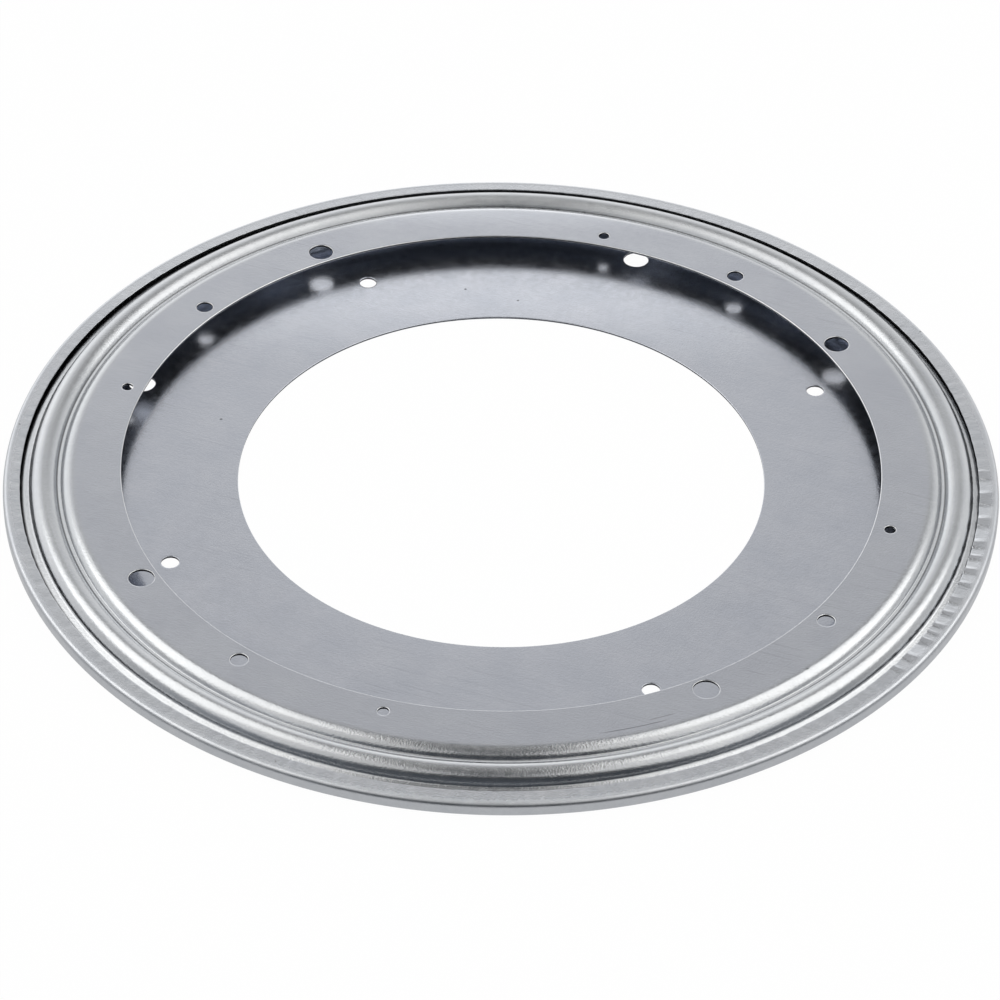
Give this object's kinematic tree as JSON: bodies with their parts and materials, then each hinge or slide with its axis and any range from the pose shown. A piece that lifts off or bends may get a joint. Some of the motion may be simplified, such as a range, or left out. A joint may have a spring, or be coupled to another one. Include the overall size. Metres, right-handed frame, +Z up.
{
  "type": "lazy susan bearing",
  "caption": "Round lazy susan turntable bearing: two stamped galvanised steel rings that turn on loose balls, with a hemmed outer rim, screw holes and a large open centre.",
  "frame": {"origin": "centre of the lower ring's mounting face, at the bottom of the bearing", "axes": "+Z up along the axis that the upper ring turns about; +X through an access hole of the lower ring, with its screw holes on the diagonals"},
  "size_m": [0.3048, 0.3048, 0.0076],
  "materials": {
    "galvanised_sheet": "satin zinc plating with fine handling marks",
    "ball_steel": "polished"
  },
  "bodies": {
    "lower": {"lower_ring": "galvanised_sheet"},
    "upper": {"upper_ring": "galvanised_sheet"},
    "ball_set": {"balls_01": "ball_steel", "balls_02": "ball_steel", "balls_03": "ball_steel", "balls_04": "ball_steel", "balls_05": "ball_steel", "balls_06": "ball_steel", "balls_07": "ball_steel", "balls_08": "ball_steel", "balls_09": "ball_steel", "balls_10": "ball_steel", "balls_11": "ball_steel", "balls_12": "ball_steel", "balls_13": "ball_steel", "balls_14": "ball_steel", "balls_15": "ball_steel", "balls_16": "ball_steel", "balls_17": "ball_steel", "balls_18": "ball_steel", "balls_19": "ball_steel", "balls_20": "ball_steel", "balls_21": "ball_steel", "balls_22": "ball_steel", "balls_23": "ball_steel", "balls_24": "ball_steel", "balls_25": "ball_steel"}
  },
  "joints": [
    {"name": "turntable_spin", "type": "hinge", "parent": "lower", "child": "upper", "pos_m": [0, 0, 0.00378], "axis": [0, 0, 1], "continuous": true},
    {"name": "ball_orbit", "type": "hinge", "parent": "lower", "child": "ball_set", "pos_m": [0, 0, 0.00378], "axis": [0, 0, 1], "continuous": true}
  ],
  "couplings": [
    {"joint": "ball_orbit", "follows": "turntable_spin", "ratio": 0.5}
  ]
}
